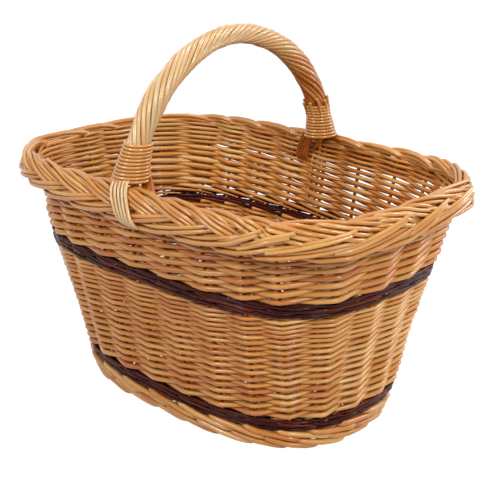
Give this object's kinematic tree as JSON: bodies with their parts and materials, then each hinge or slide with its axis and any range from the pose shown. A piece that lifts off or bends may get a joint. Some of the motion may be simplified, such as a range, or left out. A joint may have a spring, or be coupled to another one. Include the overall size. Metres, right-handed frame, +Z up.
{
  "type": "wicker shopping basket",
  "caption": "Oblong woven willow basket with two dark waled bands, a plaited border and a fixed bow handle roped with rods and bound at both feet.",
  "frame": {"origin": "middle of the flat ring the basket stands on, at floor level", "axes": "+Z up; X along the basket's length; the bow handle spans Y, and -Y is the side nearer the viewer of the picture"},
  "size_m": [0.4662, 0.3188, 0.3746],
  "materials": {
    "buff_willow": "satin",
    "inner_willow": "satin",
    "dark_willow": "glossy",
    "pale_willow": "glossy",
    "stick_willow": "matte"
  },
  "bodies": {
    "root": {"base_weave": "buff_willow", "base_cross_stick_1": "stick_willow", "base_cross_stick_2": "stick_willow", "base_cross_stick_3": "stick_willow", "base_cross_stick_4": "stick_willow", "base_cross_stick_5": "stick_willow", "base_cross_stick_6": "stick_willow", "base_long_stick_1": "stick_willow", "base_long_stick_2": "stick_willow", "base_long_stick_3": "stick_willow", "side_stake_01": "stick_willow", "side_stake_02": "stick_willow", "side_stake_03": "stick_willow", "side_stake_04": "stick_willow", "side_stake_05": "stick_willow", "side_stake_06": "stick_willow", "side_stake_07": "stick_willow", "side_stake_08": "stick_willow", "side_stake_09": "stick_willow", "side_stake_10": "stick_willow", "side_stake_11": "stick_willow", "side_stake_12": "stick_willow", "side_stake_13": "stick_willow", "side_stake_14": "stick_willow", "side_stake_15": "stick_willow", "side_stake_16": "stick_willow", "side_stake_17": "stick_willow", "side_stake_18": "stick_willow", "side_stake_19": "stick_willow", "side_stake_20": "stick_willow", "side_stake_21": "stick_willow", "side_stake_22": "stick_willow", "side_stake_23": "stick_willow", "side_stake_24": "stick_willow", "side_stake_25": "stick_willow", "side_stake_26": "stick_willow", "foot_wale": "buff_willow", "lower_dark_wale": "dark_willow", "main_siding": "buff_willow", "upper_dark_wale": "dark_willow", "upper_siding": "inner_willow", "plaited_border": "pale_willow", "handle_bow": "stick_willow", "handle_roping": "pale_willow", "front_binding": "buff_willow", "front_outer_tail": "pale_willow", "front_inner_tail": "inner_willow", "back_binding": "buff_willow", "back_outer_tail": "pale_willow", "back_inner_tail": "inner_willow"}
  },
  "joints": []
}
